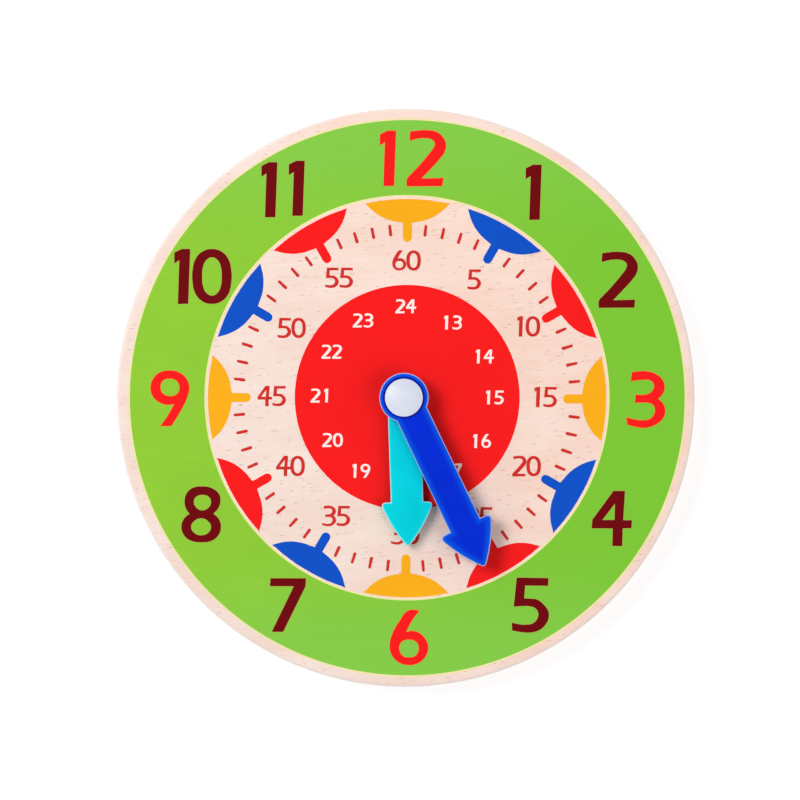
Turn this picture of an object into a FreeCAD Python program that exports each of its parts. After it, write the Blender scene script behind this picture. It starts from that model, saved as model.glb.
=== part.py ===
"""Geared teaching clock, lying on its back.

A round wooden dial board carries two arrow hands that a pupil turns by hand. A two-stage
spur gear train in a shallow pocket in the board's back turns the hour hand once for every
twelve turns of the minute hand, and a screwed cover closes the pocket.

The origin is the centre of the back, +Z points out of the dial, +Y points to twelve o'clock
and +X to three o'clock. Lengths are in millimetres and angles in degrees.
"""
import FreeCAD
import Part
import math
import os
import re
import Sketcher

Vector = FreeCAD.Vector
UPWARD = Vector(0, 0, 1)
SAME_PLACE = 1e-4

os.makedirs("parts", exist_ok=True)
doc = FreeCAD.newDocument("TeachingClock")

# Driving dimensions, one named cell each
DRIVING_SIZES = {
    # Wooden board with sanded edges
    "board_radius": 72.5,
    "board_thickness": 10.0,
    "board_edge_chamfer": 0.9,
    # Gear train: both stages share one centre distance
    "centre_distance": 18.0,
    "pressure_angle": 25.0,
    "tooth_addendum": 0.57,
    "tooth_dedendum": 0.75,
    "backlash": 0.08,
    "face_width": 1.6,
    "tooth_unit": 3,
    "first_reduction": 3,
    "second_reduction": 4,
    # Moulded wheels: rim, web and hub
    "rim_width": 1.7,
    "hub_wall": 1.9,
    "hub_margin": 0.3,
    "web_recess": 0.4,
    # Pocket, cover and its screws
    "pocket_clearance": 2.0,
    "ledge_width": 6.0,
    "cover_fit": 0.2,
    "cover_thickness": 1.8,
    "cover_recess": 0.2,
    "screw_count": 3,
    "screw_shank_radius": 1.1,
    "screw_head_radius": 2.0,
    "screw_head_height": 0.9,
    "screw_length": 5.6,
    "screw_hole_clearance": 0.15,
    "driver_slot_length": 2.6,
    "driver_slot_width": 0.5,
    "driver_slot_depth": 0.5,
    # Running fits
    "running_clearance": 0.05,
    "axial_play": 0.1,
    "washer_thickness": 0.3,
    "washer_rim": 1.4,
    # Arbor that carries the minute hand
    "arbor_radius": 1.5,
    "arbor_flat_depth": 0.4,
    "arbor_chamfer": 0.2,
    "arbor_end_recess": 0.2,
    "collar_radius": 2.5,
    "collar_thickness": 0.3,
    # Hour tube and the bushes
    "hour_tube_wall": 0.9,
    "bush_wall": 1.2,
    "bush_flange_width": 1.8,
    "bush_flange_thickness": 0.8,
    "rear_bush_wall": 1.0,
    "rear_flange_width": 1.4,
    "rear_flange_thickness": 0.4,
    "friction_washer_thickness": 0.2,
    # Pin of the intermediate gear and its clip
    "pin_radius": 1.5,
    "pin_seat_depth": 2.4,
    "pin_chamfer": 0.2,
    "pin_groove_radius": 1.15,
    "pin_end_length": 0.5,
    "clip_thickness": 0.6,
    "clip_radius": 3.1,
    "clip_ring_width": 0.9,
    "clip_lug_count": 3,
    "clip_lug_width": 1.1,
    "clip_mouth_width": 2.3,
    "pin_relief_clearance": 0.9,
    # Hands
    "hand_gap": 0.2,
    "hand_thickness": 2.4,
    "spacer_thickness": 0.5,
    "hour_hub_radius": 6.0,
    "hour_shaft_width": 8.1,
    "hour_barb_start": 25.95,
    "hour_barb_place": 26.1,
    "hour_barb_width": 13.75,
    "hour_hand_length": 37.65,
    "hour_side_bulge": 0.5,
    "hour_corner_round": 0.8,
    "minute_hub_radius": 6.2,
    "minute_shaft_width": 8.3,
    "minute_barb_start": 35.0,
    "minute_barb_place": 35.5,
    "minute_barb_width": 14.05,
    "minute_hand_length": 47.0,
    "minute_side_bulge": 0.65,
    "minute_corner_round": 0.9,
    "hand_edge_chamfer": 0.5,
    "hour_hand_angle": 178.4,
    "minute_hand_angle": 154.4,
    # Nut and cap in front
    "nut_across_flats": 5.5,
    "nut_thickness": 1.8,
    "nut_chamfer": 0.3,
    "nut_well_depth": 1.2,
    "nut_well_clearance": 1.1,
    "cap_radius": 4.85,
    "cap_rim_height": 0.4,
    "cap_dome_height": 1.1,
    "cap_skirt_depth": 0.8,
    "cap_skirt_wall": 0.7,
    "cap_inner_gap": 0.2,
}

sizes = doc.addObject("Spreadsheet::Sheet", "Sizes")
for row, (alias, number) in enumerate(DRIVING_SIZES.items(), start=1):
    sizes.set(f"A{row}", alias)
    sizes.set(f"B{row}", str(number))
    sizes.setAlias(f"B{row}", alias)
layout = doc.addObject("App::VarSet", "Layout")
doc.recompute()


def bound(formula):
    """Write a formula's plain names as the cells and layout values that they stand for."""
    def owner(match):
        word = match.group(0)
        if word in DRIVING_SIZES:
            return f"Sizes.{word}"
        if word in layout.PropertiesList:
            return f"Layout.{word}"
        return word
    return re.sub(r"[a-z][a-z_]+", owner, formula)


def derive(name, formula):
    """Add a layout value that follows from the driving dimensions."""
    layout.addProperty("App::PropertyFloat", name, "Layout", "")
    layout.setExpression(name, bound(formula))
    doc.recompute()


def value(formula):
    """Work a formula out as a number."""
    return float(sizes.evalExpression(bound(formula)))


# Tooth counts: equal sums in both stages, and first_reduction * second_reduction = 12
derive("minute_pinion_teeth", "(1 + second_reduction) * tooth_unit")
derive("intermediate_wheel_teeth", "first_reduction * minute_pinion_teeth")
derive("intermediate_pinion_teeth", "(1 + first_reduction) * tooth_unit")
derive("hour_wheel_teeth", "second_reduction * intermediate_pinion_teeth")
derive("gear_module", "2 * centre_distance / (minute_pinion_teeth + intermediate_wheel_teeth)")

# Heights above the back of the board, from the cover up to the cap
derive("cover_inside", "cover_recess + cover_thickness")
derive("rear_flange_top", "cover_inside + rear_flange_thickness")
derive("thrust_washer_top", "rear_flange_top + washer_thickness")
derive("level_one", "thrust_washer_top + axial_play")
derive("level_one_top", "level_one + face_width")
derive("collar_top", "level_one_top + collar_thickness")
derive("level_two", "collar_top + axial_play")
derive("level_two_top", "level_two + face_width")
derive("pocket_top", "level_two_top + axial_play + washer_thickness")
derive("bush_flange_top", "board_thickness + bush_flange_thickness")
derive("hour_hand_underside", "bush_flange_top + hand_gap")
derive("hour_hand_top", "hour_hand_underside + hand_thickness")
derive("spacer_top", "hour_hand_top + spacer_thickness")
derive("minute_hand_underside", "spacer_top + axial_play")
derive("minute_hand_top", "minute_hand_underside + hand_thickness")
derive("nut_seat", "minute_hand_top - nut_well_depth")
derive("nut_top", "nut_seat + nut_thickness")

# Radii of the parts that fit one inside the next
derive("arbor_bore", "arbor_radius + running_clearance")
derive("hour_tube_radius", "arbor_bore + hour_tube_wall")
derive("bush_bore", "hour_tube_radius + running_clearance")
derive("bush_radius", "bush_bore + bush_wall")
derive("bush_flange_radius", "bush_radius + bush_flange_width")
derive("rear_bush_radius", "arbor_bore + rear_bush_wall")
derive("rear_flange_radius", "rear_bush_radius + rear_flange_width")
derive("pin_bore", "pin_radius + running_clearance")
derive("wheel_reach", "gear_module * intermediate_wheel_teeth / 2 + tooth_addendum")
derive("pocket_radius", "centre_distance + wheel_reach + pocket_clearance")
derive("rebate_radius", "pocket_radius + ledge_width")
derive("screw_circle", "pocket_radius + ledge_width / 2")
derive("screw_end", "cover_recess + screw_length")
derive("clip_underside", "rear_flange_top - clip_thickness")
derive("pin_end", "clip_underside - pin_end_length")
derive("pin_relief_floor", "pin_end - running_clearance - axial_play")
derive("pin_relief_radius", "clip_radius + pin_relief_clearance")
derive("nut_corner_radius", "nut_across_flats / (2 * cos(30))")
derive("nut_well_radius", "nut_corner_radius + nut_well_clearance")
derive("arbor_flat", "arbor_radius - arbor_flat_depth")
derive("arbor_flat_half", "sqrt(arbor_radius ^ 2 - arbor_flat ^ 2)")

# Rims and hubs of the moulded wheels
derive("wheel_rim_inside", "gear_module * intermediate_wheel_teeth / 2 - tooth_dedendum"
       " - rim_width")
derive("wheel_hub_outside", "gear_module * intermediate_pinion_teeth / 2 + tooth_addendum"
       " + hub_margin")
derive("hour_rim_inside", "gear_module * hour_wheel_teeth / 2 - tooth_dedendum - rim_width")
derive("hour_hub_outside", "hour_tube_radius + hub_wall")

# Ends of the arbor and the pin, and the dome of the cap
derive("arbor_end", "cover_recess + arbor_end_recess")
derive("arbor_tip", "nut_top - axial_play")
derive("pin_tip", "pocket_top + pin_seat_depth")
derive("cap_dome_radius", "(cap_radius ^ 2 + cap_dome_height ^ 2) / (2 * cap_dome_height)")
derive("cap_rim_top", "minute_hand_top + cap_rim_height")
derive("cap_apex", "cap_rim_top + cap_dome_height")
derive("cap_dome_drop_low", "cap_dome_radius - sqrt(cap_dome_radius ^ 2 - (0.8 * cap_radius) ^ 2)")
derive("cap_dome_drop_high", "cap_dome_radius - sqrt(cap_dome_radius ^ 2"
       " - (0.4 * cap_radius) ^ 2)")
derive("cap_ceiling", "nut_top + cap_inner_gap")

# Full sides of the arrow heads, as arcs over their chords
for size in ("hour", "minute"):
    derive(f"{size}_head_chord", f"sqrt(({size}_barb_width / 2) ^ 2"
           f" + ({size}_hand_length - {size}_barb_place) ^ 2)")
    derive(f"{size}_side_radius", f"({size}_head_chord ^ 2 / 4 + {size}_side_bulge ^ 2)"
           f" / (2 * {size}_side_bulge)")


# Modelling helpers

def origin_feature(body, role):
    """Find one of a body's own origin planes or axes."""
    return next(feature for feature in body.Origin.OriginFeatures if feature.Role == role)


def new_body(name, base=None):
    """Start a sub-part, from nothing or from a finished blank."""
    body = doc.addObject("PartDesign::Body", name)
    body.Label = name
    if base is not None:
        body.BaseFeature = base
        doc.recompute()
    return body


def sketch_on(body, role, name, height=None):
    """Add a sketch on an origin plane, raised to a height where one is given."""
    sketch = body.newObject("Sketcher::SketchObject", name)
    sketch.AttachmentSupport = [(origin_feature(body, role), "")]
    sketch.MapMode = "FlatFace"
    if height is not None:
        sketch.setExpression("AttachmentOffset.Base.z", bound(height))
    return sketch


def hold(sketch, kind, formula, *references):
    """Add a dimension to a sketch and bind it to its formula."""
    index = sketch.addConstraint(Sketcher.Constraint(kind, *references, value(formula)))
    sketch.setExpression(f"Constraints[{index}]", bound(formula))


def circle(sketch, radius, across="0", up="0"):
    """Draw a circle of a given radius and centre."""
    centre = Vector(value(across), value(up), 0)
    edge = sketch.addGeometry(Part.Circle(centre, UPWARD, value(radius)), False)
    hold(sketch, "Radius", radius, edge)
    hold(sketch, "DistanceX", across, edge, 3)
    hold(sketch, "DistanceY", up, edge, 3)


def outline(sketch, corners):
    """Draw a closed outline. A corner is (across, up), or (across, up, radius) where the
    edge that leaves it is an arc of that radius, bulging to the right of the way round."""
    places = [Vector(value(corner[0]), value(corner[1]), 0) for corner in corners]
    count = len(corners)
    for edge, corner in enumerate(corners):
        start = places[edge]
        end = places[(edge + 1) % count]
        if len(corner) == 3:
            chord = end - start
            radius = value(corner[2])
            rise = radius - math.sqrt(radius ** 2 - chord.Length ** 2 / 4)
            rightward = Vector(chord.y, -chord.x, 0).normalize()
            middle = (start + end) / 2 + rightward * rise
            sketch.addGeometry(Part.Arc(start, middle, end), False)
        else:
            sketch.addGeometry(Part.LineSegment(start, end), False)
    ends = []
    for edge in range(count):
        geometry = sketch.Geometry[edge]
        at_start = (geometry.StartPoint - places[edge]).Length < SAME_PLACE
        ends.append((1, 2) if at_start else (2, 1))
    for edge, corner in enumerate(corners):
        after = (edge + 1) % count
        sketch.addConstraint(
            Sketcher.Constraint("Coincident", edge, ends[edge][1], after, ends[after][0]))
        hold(sketch, "DistanceX", corner[0], edge, ends[edge][0])
        hold(sketch, "DistanceY", corner[1], edge, ends[edge][0])
        if len(corner) == 3:
            hold(sketch, "Radius", corner[2], edge)


def turning_axis(sketch, across):
    """Draw an upright construction line as an axis of rotation and return its name."""
    height = "board_thickness"
    line = Part.LineSegment(Vector(value(across), 0, 0), Vector(value(across), value(height), 0))
    edge = sketch.addGeometry(line, True)
    hold(sketch, "DistanceX", across, edge, 1)
    hold(sketch, "DistanceY", "0", edge, 1)
    hold(sketch, "DistanceX", across, edge, 2)
    hold(sketch, "DistanceY", height, edge, 2)
    return "Axis0"


def feature(body, kind, name, sketch):
    """Add a feature to a body from a sketch."""
    made = body.newObject(f"PartDesign::{kind}", name)
    made.Profile = sketch
    made.Refine = True
    return made


def turn(body, name, corners, kind="Revolution", across=None):
    """Turn a section about the body's centre line, or about an upright line beside it."""
    sketch = sketch_on(body, "XZ_Plane", f"{name}_section")
    outline(sketch, corners)
    axis = "V_Axis" if across is None else turning_axis(sketch, across)
    doc.recompute()
    turned = feature(body, kind, name, sketch)
    turned.ReferenceAxis = (sketch, [axis])
    turned.Angle = 360
    doc.recompute()
    return turned


def pad(body, name, sketch, height):
    """Raise a sketch upwards by a height."""
    raised = feature(body, "Pad", name, sketch)
    raised.setExpression("Length", bound(height))
    doc.recompute()
    return raised


def cut(body, name, sketch, depth):
    """Cut a sketch upwards into a body by a depth."""
    before = body.Shape.Volume
    opened = feature(body, "Pocket", name, sketch)
    opened.Reversed = True
    opened.setExpression("Length", bound(depth))
    doc.recompute()
    if not body.Shape.Volume < before:
        raise RuntimeError(f"{name} cuts nothing from {body.Label}")
    return opened


def bore(body, name, radius, bottom, top, across="0"):
    """Cut a round hole from one height to another."""
    sketch = sketch_on(body, "XY_Plane", f"{name}_circle", bottom)
    circle(sketch, radius, across)
    return cut(body, name, sketch, f"({top}) - ({bottom})")


def around(body, name, original, count):
    """Repeat a feature round the body's centre line."""
    pattern = body.newObject("PartDesign::PolarPattern", name)
    pattern.Originals = [original]
    pattern.Axis = (origin_feature(body, "Z_Axis"), [""])
    pattern.Angle = 360
    pattern.setExpression("Occurrences", bound(count))
    pattern.Refine = True
    body.Tip = pattern
    doc.recompute()
    return pattern


def soften(body, kind, name, size, chosen):
    """Fillet or chamfer the edges that a test chooses."""
    base = body.Tip
    edges = [f"Edge{place}" for place, edge in enumerate(base.Shape.Edges, 1) if chosen(edge)]
    if not edges:
        raise RuntimeError(f"{name} finds no edges on {body.Label}")
    softened = body.newObject(f"PartDesign::{kind}", name)
    softened.Base = (base, edges)
    softened.setExpression("Radius" if kind == "Fillet" else "Size", bound(size))
    softened.Refine = True
    doc.recompute()
    return softened


def is_level(edge, height):
    """Say whether an edge lies flat at a height."""
    box = edge.BoundBox
    return abs(box.ZMin - height) < SAME_PLACE and abs(box.ZMax - height) < SAME_PLACE


def is_ring(edge, radius, height):
    """Say whether an edge is a circle of a radius at a height."""
    return (is_level(edge, height) and hasattr(edge.Curve, "Radius")
            and abs(edge.Curve.Radius - radius) < SAME_PLACE)


# Wooden board with its stepped pocket

def make_dial_board():
    board = new_body("dial_board")
    turn(board, "board_turning", [
        ("bush_radius", "pocket_top"),
        ("pocket_radius", "pocket_top"),
        ("pocket_radius", "cover_inside"),
        ("rebate_radius", "cover_inside"),
        ("rebate_radius", "0"),
        ("board_radius - board_edge_chamfer", "0"),
        ("board_radius", "board_edge_chamfer"),
        ("board_radius", "board_thickness - board_edge_chamfer"),
        ("board_radius - board_edge_chamfer", "board_thickness"),
        ("bush_radius", "board_thickness"),
    ])
    bore(board, "pin_seat", "pin_radius", "pocket_top", "pocket_top + pin_seat_depth",
         "centre_distance")
    pilot = turn(board, "pilot_hole", [
        ("screw_circle", "cover_inside"),
        ("screw_circle + screw_shank_radius", "cover_inside"),
        ("screw_circle + screw_shank_radius", "screw_end"),
        ("screw_circle", "screw_end"),
    ], kind="Groove", across="screw_circle")
    around(board, "pilot_holes", pilot, "screw_count")
    return board


# Cover, its bush and its screws

def make_back_cover():
    cover = new_body("back_cover")
    turn(cover, "cover_disc", [
        ("rear_bush_radius", "cover_recess"),
        ("rebate_radius - cover_fit", "cover_recess"),
        ("rebate_radius - cover_fit", "cover_inside"),
        ("rear_bush_radius", "cover_inside"),
    ])
    bore(cover, "pin_relief", "pin_relief_radius", "pin_relief_floor", "cover_inside",
         "centre_distance")
    seat = turn(cover, "screw_seat", [
        ("screw_circle", "cover_recess"),
        ("screw_circle + screw_head_radius", "cover_recess"),
        ("screw_circle + screw_shank_radius + screw_hole_clearance",
         "cover_recess + screw_head_height"),
        ("screw_circle + screw_shank_radius + screw_hole_clearance", "cover_inside"),
        ("screw_circle", "cover_inside"),
    ], kind="Groove", across="screw_circle")
    around(cover, "screw_seats", seat, "screw_count")
    return cover


def make_cover_screws():
    screws = new_body("cover_screws")
    shank = turn(screws, "screw_turning", [
        ("screw_circle", "cover_recess"),
        ("screw_circle + screw_head_radius", "cover_recess"),
        ("screw_circle + screw_shank_radius", "cover_recess + screw_head_height"),
        ("screw_circle + screw_shank_radius", "screw_end"),
        ("screw_circle", "screw_end"),
    ], across="screw_circle")
    slots = []
    for name, half_across, half_up in (
            ("slot_across", "driver_slot_length / 2", "driver_slot_width / 2"),
            ("slot_up", "driver_slot_width / 2", "driver_slot_length / 2")):
        sketch = sketch_on(screws, "XY_Plane", f"{name}_outline", "cover_recess")
        outline(sketch, [
            (f"screw_circle - {half_across}", f"-{half_up}"),
            (f"screw_circle + {half_across}", f"-{half_up}"),
            (f"screw_circle + {half_across}", half_up),
            (f"screw_circle - {half_across}", half_up),
        ])
        slots.append(cut(screws, name, sketch, "driver_slot_depth"))
    pattern = around(screws, "screw_ring", shank, "screw_count")
    pattern.Originals = [shank] + slots
    doc.recompute()
    return screws


def make_rear_bush():
    bush = new_body("rear_bush")
    turn(bush, "rear_bush_turning", [
        ("arbor_bore", "cover_recess"),
        ("rear_bush_radius", "cover_recess"),
        ("rear_bush_radius", "cover_inside"),
        ("rear_flange_radius", "cover_inside"),
        ("rear_flange_radius", "rear_flange_top"),
        ("arbor_bore", "rear_flange_top"),
    ])
    return bush


# Washers

def make_washer(name, bottom, top, hole, rim, across="0"):
    """A flat washer between two heights."""
    washer = new_body(name)
    turn(washer, f"{name}_turning", [
        (hole, bottom),
        (f"{hole} + {rim}", bottom),
        (f"{hole} + {rim}", top),
        (hole, top),
    ])
    washer.setExpression("Placement.Base.x", bound(across))
    return washer


def make_intermediate_washers():
    """Two fibre washers, one on each side of the intermediate gear."""
    washers = new_body("intermediate_washers")
    for name, bottom, top in (
            ("lower_washer", "rear_flange_top", "thrust_washer_top"),
            ("upper_washer", "pocket_top - washer_thickness", "pocket_top")):
        turn(washers, name, [
            ("pin_bore", bottom),
            ("pin_bore + washer_rim", bottom),
            ("pin_bore + washer_rim", top),
            ("pin_bore", top),
        ])
    washers.setExpression("Placement.Base.x", bound("centre_distance"))
    return washers


def make_friction_washer():
    """A spring washer, slightly coned, that presses the hour wheel away from the bush."""
    washer = new_body("friction_washer")
    turn(washer, "cone", [
        ("bush_bore + running_clearance", "level_two_top"),
        ("bush_radius", "pocket_top - friction_washer_thickness"),
        ("bush_radius", "pocket_top"),
        ("bush_bore + running_clearance", "level_two_top + friction_washer_thickness"),
    ])
    return washer


# Gears

def polar(radius, angle):
    return Vector(radius * math.cos(angle), radius * math.sin(angle), 0)


def toothed_outline(teeth, phase):
    """The closed outline of a spur gear with its first tooth at a phase angle. Each flank is
    drawn through three points of the involute, and falls straight to the root below it."""
    pressure_angle = math.radians(value("pressure_angle"))
    pitch_radius = value("gear_module") * teeth / 2
    base_radius = pitch_radius * math.cos(pressure_angle)
    tip_radius = pitch_radius + value("tooth_addendum")
    root_radius = pitch_radius - value("tooth_dedendum")
    flank_start = max(base_radius, root_radius)
    tooth_thickness = math.pi * value("gear_module") / 2 - value("backlash") / 2

    def half_angle(radius):
        """Half the angle that a tooth takes up at a radius, from the involute function."""
        slope = math.acos(min(1, base_radius / radius))
        return (tooth_thickness / (2 * pitch_radius)
                + math.tan(pressure_angle) - pressure_angle - math.tan(slope) + slope)

    flank = [(radius, half_angle(radius))
             for radius in (flank_start, (flank_start + tip_radius) / 2, tip_radius)]
    if flank_start > root_radius:
        flank.insert(0, (root_radius, half_angle(flank_start)))
    corners = []
    for tooth in range(teeth):
        centre = phase + 2 * math.pi * tooth / teeth
        corners += [polar(radius, centre - angle) for radius, angle in flank]
        corners += [polar(radius, centre + angle) for radius, angle in reversed(flank)]
    return Part.makePolygon(corners + corners[:1])


def toothed_disc(teeth, bottom, top, phase=0.0):
    """A solid spur gear between two heights."""
    wire = toothed_outline(teeth, phase)
    wire.translate(UPWARD * value(bottom))
    return Part.Face(wire).extrude(UPWARD * (value(top) - value(bottom)))


def facing_gap(teeth):
    """The phase that turns the middle of a tooth gap towards -X, where the mate's tooth is."""
    return math.pi - math.pi / teeth


def blank(name, shape):
    """Keep a toothed solid as the blank that a body is cut from."""
    kept = doc.addObject("Part::Feature", name)
    kept.Shape = shape
    return kept


def recess_web(body, name, face, inner, outer):
    """Turn a ring out of a wheel's upper face, between its hub and its rim."""
    floor = f"{face} - web_recess"
    turn(body, name, [(inner, face), (outer, face), (outer, floor), (inner, floor)],
         kind="Groove")


def make_minute_pinion():
    teeth = round(value("minute_pinion_teeth"))
    pinion = new_body("minute_pinion", blank("minute_pinion_blank",
                                             toothed_disc(teeth, "level_one", "level_one_top")))
    bore(pinion, "pinion_bore", "arbor_radius", "level_one", "level_one_top")
    return pinion


def make_intermediate_gear():
    """Wheel and pinion moulded in one, the pinion standing on the wheel."""
    wheel_teeth = round(value("intermediate_wheel_teeth"))
    pinion_teeth = round(value("intermediate_pinion_teeth"))
    wheel = toothed_disc(wheel_teeth, "level_one", "level_one_top", facing_gap(wheel_teeth))
    pinion = toothed_disc(pinion_teeth, "level_one_top", "level_two_top",
                          facing_gap(pinion_teeth))
    gear = new_body("intermediate_gear", blank("intermediate_gear_blank",
                                               wheel.fuse(pinion).removeSplitter()))
    bore(gear, "gear_bore", "pin_bore", "level_one", "level_two_top")
    recess_web(gear, "web_recess", "level_one_top", "wheel_hub_outside", "wheel_rim_inside")
    gear.setExpression("Placement.Base.x", bound("centre_distance"))
    return gear


def make_hour_wheel():
    teeth = round(value("hour_wheel_teeth"))
    wheel = new_body("hour_wheel", blank("hour_wheel_blank",
                                         toothed_disc(teeth, "level_two", "level_two_top")))
    bore(wheel, "wheel_bore", "hour_tube_radius", "level_two", "level_two_top")
    recess_web(wheel, "web_recess", "level_two_top", "hour_hub_outside", "hour_rim_inside")
    return wheel


# Arbors, tube, bush, pin and clip

def make_minute_arbor():
    arbor = new_body("minute_arbor")
    turn(arbor, "arbor_turning", [
        ("0", "arbor_end"),
        ("arbor_radius", "arbor_end"),
        ("arbor_radius", "level_one_top"),
        ("collar_radius", "level_one_top"),
        ("collar_radius", "collar_top"),
        ("arbor_radius", "collar_top"),
        ("arbor_radius", "arbor_tip"),
        ("0", "arbor_tip"),
    ])
    soften(arbor, "Chamfer", "arbor_chamfers", "arbor_chamfer",
           lambda edge: is_ring(edge, value("arbor_radius"), value("arbor_end"))
           or is_ring(edge, value("arbor_radius"), value("arbor_tip")))
    flat = sketch_on(arbor, "XY_Plane", "flat_outline", "minute_hand_underside")
    outline(flat, [
        ("arbor_radius - arbor_flat_depth", "-arbor_radius * 2"),
        ("arbor_radius * 2", "-arbor_radius * 2"),
        ("arbor_radius * 2", "arbor_radius * 2"),
        ("arbor_radius - arbor_flat_depth", "arbor_radius * 2"),
    ])
    cut(arbor, "flat", flat, "arbor_tip - minute_hand_underside")
    return arbor


def make_hour_tube():
    tube = new_body("hour_tube")
    turn(tube, "tube_turning", [
        ("arbor_bore", "level_two"),
        ("hour_tube_radius", "level_two"),
        ("hour_tube_radius", "hour_hand_top"),
        ("arbor_bore", "hour_hand_top"),
    ])
    return tube


def make_dial_bush():
    bush = new_body("dial_bush")
    turn(bush, "dial_bush_turning", [
        ("bush_bore", "pocket_top"),
        ("bush_radius", "pocket_top"),
        ("bush_radius", "board_thickness"),
        ("bush_flange_radius", "board_thickness"),
        ("bush_flange_radius", "bush_flange_top"),
        ("bush_bore", "bush_flange_top"),
    ])
    return bush


def make_intermediate_pin():
    pin = new_body("intermediate_pin")
    turn(pin, "pin_turning", [
        ("0", "pin_end"),
        ("pin_radius", "pin_end"),
        ("pin_radius", "clip_underside"),
        ("pin_groove_radius", "clip_underside"),
        ("pin_groove_radius", "rear_flange_top"),
        ("pin_radius", "rear_flange_top"),
        ("pin_radius", "pin_tip"),
        ("0", "pin_tip"),
    ])
    soften(pin, "Chamfer", "pin_chamfers", "pin_chamfer",
           lambda edge: is_ring(edge, value("pin_radius"), value("pin_end"))
           or is_ring(edge, value("pin_radius"), value("pin_tip")))
    pin.setExpression("Placement.Base.x", bound("centre_distance"))
    return pin


def make_pin_clip():
    """A retaining clip: a ring with three lugs that reach into the groove, and a mouth."""
    clip = new_body("pin_clip")
    ring = sketch_on(clip, "XY_Plane", "ring_outline", "clip_underside")
    circle(ring, "clip_radius")
    circle(ring, "clip_radius - clip_ring_width")
    pad(clip, "ring", ring, "clip_thickness")
    lug_outline = sketch_on(clip, "XY_Plane", "lug_outline", "clip_underside")
    outline(lug_outline, [
        ("pin_groove_radius / 2", "-clip_lug_width / 2"),
        ("clip_radius - clip_ring_width / 2", "-clip_lug_width / 2"),
        ("clip_radius - clip_ring_width / 2", "clip_lug_width / 2"),
        ("pin_groove_radius / 2", "clip_lug_width / 2"),
    ])
    lug = pad(clip, "lug", lug_outline, "clip_thickness")
    around(clip, "lugs", lug, "clip_lug_count")
    bore(clip, "groove_fit", "pin_groove_radius", "clip_underside", "rear_flange_top")
    mouth = sketch_on(clip, "XY_Plane", "mouth_outline", "clip_underside")
    outline(mouth, [
        ("-clip_radius * 2", "-clip_mouth_width / 2"),
        ("-pin_groove_radius", "-clip_mouth_width / 2"),
        ("-pin_groove_radius", "clip_mouth_width / 2"),
        ("-clip_radius * 2", "clip_mouth_width / 2"),
    ])
    cut(clip, "mouth", mouth, "clip_thickness")
    clip.setExpression("Placement.Base.x", bound("centre_distance"))
    return clip


# Hands

def arrow_hand(name, size, bottom):
    """A moulded arrow: a round hub, a parallel shaft, and a head with swept barbs and full
    sides. It is drawn pointing to twelve, with the hub's hole still solid."""
    hand = new_body(name)
    half_shaft = f"{size}_shaft_width / 2"
    half_barb = f"{size}_barb_width / 2"
    arrow = sketch_on(hand, "XY_Plane", f"{size}_arrow_outline", bottom)
    outline(arrow, [
        (f"-{half_shaft}", "0"),
        (half_shaft, "0"),
        (half_shaft, f"{size}_barb_start"),
        (half_barb, f"{size}_barb_place", f"{size}_side_radius"),
        ("0", f"{size}_hand_length", f"{size}_side_radius"),
        (f"-{half_barb}", f"{size}_barb_place"),
        (f"-{half_shaft}", f"{size}_barb_start"),
    ])
    pad(hand, f"{size}_arrow", arrow, "hand_thickness")
    hub = sketch_on(hand, "XY_Plane", f"{size}_hub_outline", bottom)
    circle(hub, f"{size}_hub_radius")
    pad(hand, f"{size}_hub", hub, "hand_thickness")
    barb_place = value(f"{size}_barb_place")

    def is_head_corner(edge):
        """The upright edges at the two barbs and at the point."""
        box = edge.BoundBox
        upright = box.ZLength > SAME_PLACE and box.XLength < SAME_PLACE and box.YLength < SAME_PLACE
        outside = abs(box.XMin) > value(half_shaft) + SAME_PLACE or box.YMin > barb_place + SAME_PLACE
        return upright and box.YMin > barb_place - SAME_PLACE and outside

    soften(hand, "Fillet", f"{size}_corners", f"{size}_corner_round", is_head_corner)
    soften(hand, "Chamfer", f"{size}_top_edges", "hand_edge_chamfer",
           lambda edge: is_level(edge, value(f"{bottom} + hand_thickness")))
    return hand


def point_to(body, angle):
    """Turn a body clockwise from twelve, as seen on the dial."""
    body.Placement = FreeCAD.Placement(Vector(), FreeCAD.Rotation(-UPWARD, value(angle)))
    body.setExpression("Placement.Rotation.Angle", bound(angle))


def make_hour_hand():
    hand = arrow_hand("hour_hand", "hour", "hour_hand_underside")
    bore(hand, "tube_fit", "hour_tube_radius", "hour_hand_underside", "hour_hand_top")
    point_to(hand, "hour_hand_angle")
    return hand


def make_minute_hand():
    hand = arrow_hand("minute_hand", "minute", "minute_hand_underside")
    hole = sketch_on(hand, "XY_Plane", "flat_sided_hole", "minute_hand_underside")
    outline(hole, [
        ("arbor_flat", "-arbor_flat_half"),
        ("arbor_flat", "arbor_flat_half", "arbor_radius"),
        ("-arbor_flat", "arbor_flat_half", "arbor_radius"),
        ("-arbor_flat", "-arbor_flat_half", "arbor_radius"),
    ])
    cut(hand, "arbor_fit", hole, "hand_thickness")
    bore(hand, "nut_well", "nut_well_radius", "nut_seat", "minute_hand_top")
    return hand


# Nut and cap

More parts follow.
